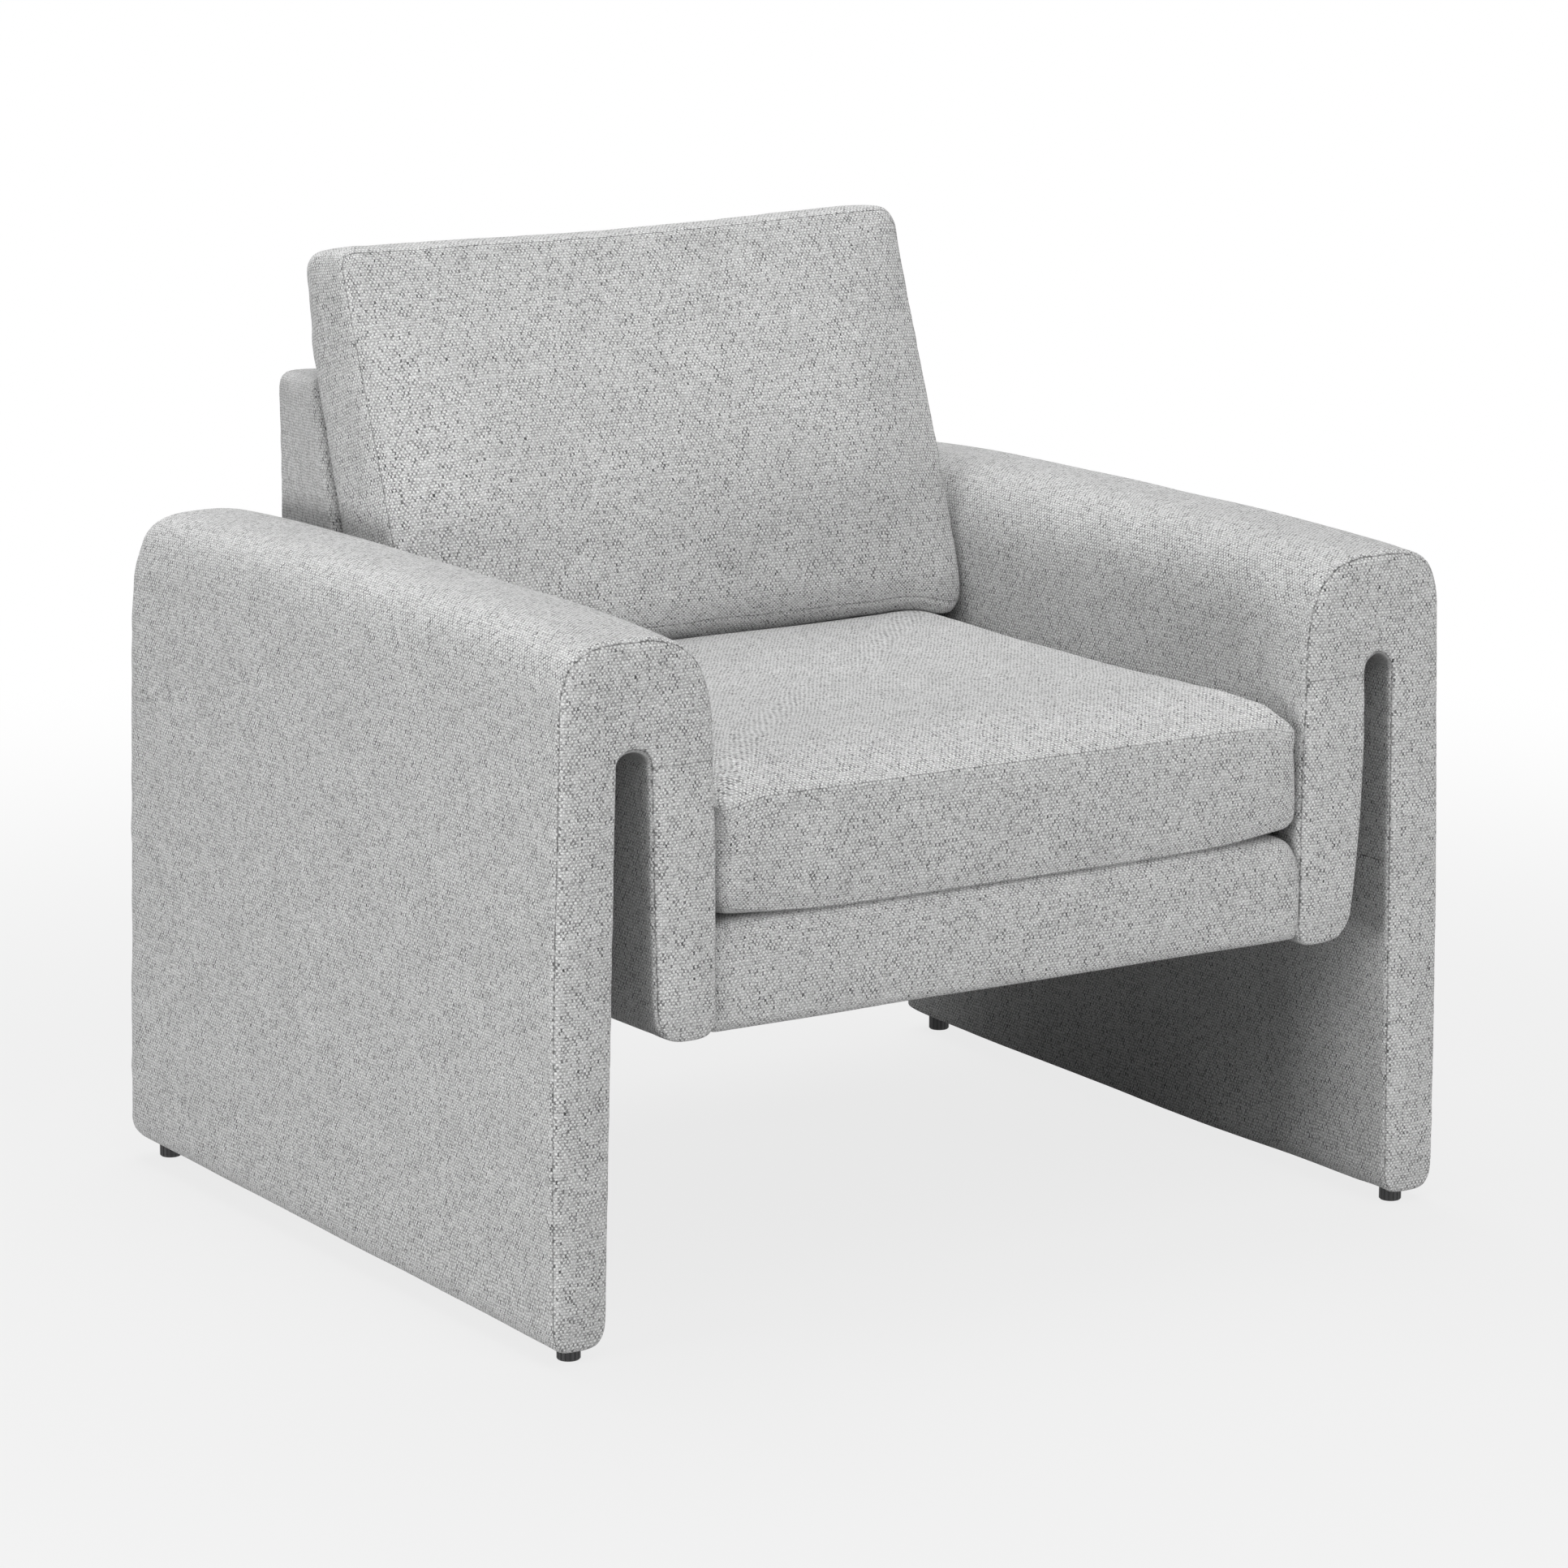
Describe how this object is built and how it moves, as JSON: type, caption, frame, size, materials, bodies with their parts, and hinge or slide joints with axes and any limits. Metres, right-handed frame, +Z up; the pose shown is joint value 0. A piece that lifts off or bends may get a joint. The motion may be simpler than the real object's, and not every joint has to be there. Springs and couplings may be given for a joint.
{
  "type": "upholstered armchair",
  "caption": "Low upholstered armchair with waterfall arms that run to the floor, a slot in each arm, loose box cushions and screw-in levelling feet.",
  "frame": {"origin": "on the floor, under the middle of the chair", "axes": "+X to the right as seen from the front, +Y from the front to the back, +Z up"},
  "size_m": [0.86, 0.72, 0.7894],
  "materials": {
    "heathered_fabric": "matte",
    "foam": "matte",
    "dust_cloth": "matte",
    "webbing": "matte",
    "black_plastic": "satin",
    "zinc_steel": "satin",
    "hardboard": "matte",
    "plywood": "matte",
    "timber": "matte"
  },
  "bodies": {
    "chair_frame": {"back_bolts": "zinc_steel", "back_bottom_rail": "timber", "back_cover": "heathered_fabric", "back_foam": "foam", "back_middle_rail": "timber", "back_rear_board": "hardboard", "back_top_rail": "timber", "back_webbing": "webbing", "deck_cover": "heathered_fabric", "deck_pad": "foam", "dust_cover": "dust_cloth", "left_arm_bolts": "zinc_steel", "left_arm_cover": "heathered_fabric", "left_arm_leg_core": "plywood", "left_arm_leg_foam": "foam", "left_arm_panel_foam": "foam", "left_arm_panel_frame": "timber", "left_arm_panel_skins": "plywood", "left_arm_tee_nuts": "zinc_steel", "left_arm_top_board": "hardboard", "left_arm_top_foam": "foam", "left_arm_top_ribs": "plywood", "left_back_post": "plywood", "left_foot_inserts": "zinc_steel", "left_seat_side_rail": "timber", "right_arm_bolts": "zinc_steel", "right_arm_cover": "heathered_fabric", "right_arm_leg_core": "plywood", "right_arm_leg_foam": "foam", "right_arm_panel_foam": "foam", "right_arm_panel_frame": "timber", "right_arm_panel_skins": "plywood", "right_arm_tee_nuts": "zinc_steel", "right_arm_top_board": "hardboard", "right_arm_top_foam": "foam", "right_arm_top_ribs": "plywood", "right_back_post": "plywood", "right_foot_inserts": "zinc_steel", "right_seat_side_rail": "timber", "seat_corner_blocks": "timber", "seat_front_rail": "timber", "seat_rear_rail": "timber", "seat_webbing": "webbing"},
    "seat_cushion": {"seat_cushion_core": "foam", "seat_cushion_cover": "heathered_fabric"},
    "back_cushion": {"back_cushion_core": "foam", "back_cushion_cover": "heathered_fabric"},
    "front_left_foot_screw": {"front_left_foot_stud": "zinc_steel"},
    "front_left_foot_base": {"front_left_foot_glide": "black_plastic"},
    "front_right_foot_screw": {"front_right_foot_stud": "zinc_steel"},
    "front_right_foot_base": {"front_right_foot_glide": "black_plastic"},
    "rear_left_foot_screw": {"rear_left_foot_stud": "zinc_steel"},
    "rear_left_foot_base": {"rear_left_foot_glide": "black_plastic"},
    "rear_right_foot_screw": {"rear_right_foot_stud": "zinc_steel"},
    "rear_right_foot_base": {"rear_right_foot_glide": "black_plastic"}
  },
  "joints": [
    {"name": "seat_cushion_lift", "type": "slide", "parent": "chair_frame", "child": "seat_cushion", "axis": [0, 0, 1], "range_m": [0, 0.25]},
    {"name": "back_cushion_lift", "type": "slide", "parent": "seat_cushion", "child": "back_cushion", "axis": [0, 0.309, 0.9511], "range_m": [0, 0.3]},
    {"name": "front_left_foot_travel", "type": "slide", "parent": "chair_frame", "child": "front_left_foot_screw", "axis": [0, 0, -1], "range_m": [0, 0.01]},
    {"name": "front_left_foot_turn", "type": "hinge", "parent": "front_left_foot_screw", "child": "front_left_foot_base", "pos_m": [-0.4055, -0.338, 0.01], "axis": [0, 0, -1], "range_deg": [0, 2880]},
    {"name": "front_right_foot_travel", "type": "slide", "parent": "chair_frame", "child": "front_right_foot_screw", "axis": [0, 0, -1], "range_m": [0, 0.01]},
    {"name": "front_right_foot_turn", "type": "hinge", "parent": "front_right_foot_screw", "child": "front_right_foot_base", "pos_m": [0.4055, -0.338, 0.01], "axis": [0, 0, -1], "range_deg": [0, 2880]},
    {"name": "rear_left_foot_travel", "type": "slide", "parent": "chair_frame", "child": "rear_left_foot_screw", "axis": [0, 0, -1], "range_m": [0, 0.01]},
    {"name": "rear_left_foot_turn", "type": "hinge", "parent": "rear_left_foot_screw", "child": "rear_left_foot_base", "pos_m": [-0.4055, 0.338, 0.01], "axis": [0, 0, -1], "range_deg": [0, 2880]},
    {"name": "rear_right_foot_travel", "type": "slide", "parent": "chair_frame", "child": "rear_right_foot_screw", "axis": [0, 0, -1], "range_m": [0, 0.01]},
    {"name": "rear_right_foot_turn", "type": "hinge", "parent": "rear_right_foot_screw", "child": "rear_right_foot_base", "pos_m": [0.4055, 0.338, 0.01], "axis": [0, 0, -1], "range_deg": [0, 2880]}
  ],
  "couplings": [
    {"joint": "front_left_foot_travel", "follows": "front_left_foot_turn", "m_per_rad": 0.00019893},
    {"joint": "front_right_foot_travel", "follows": "front_right_foot_turn", "m_per_rad": 0.00019893},
    {"joint": "rear_left_foot_travel", "follows": "rear_left_foot_turn", "m_per_rad": 0.00019893},
    {"joint": "rear_right_foot_travel", "follows": "rear_right_foot_turn", "m_per_rad": 0.00019893}
  ]
}
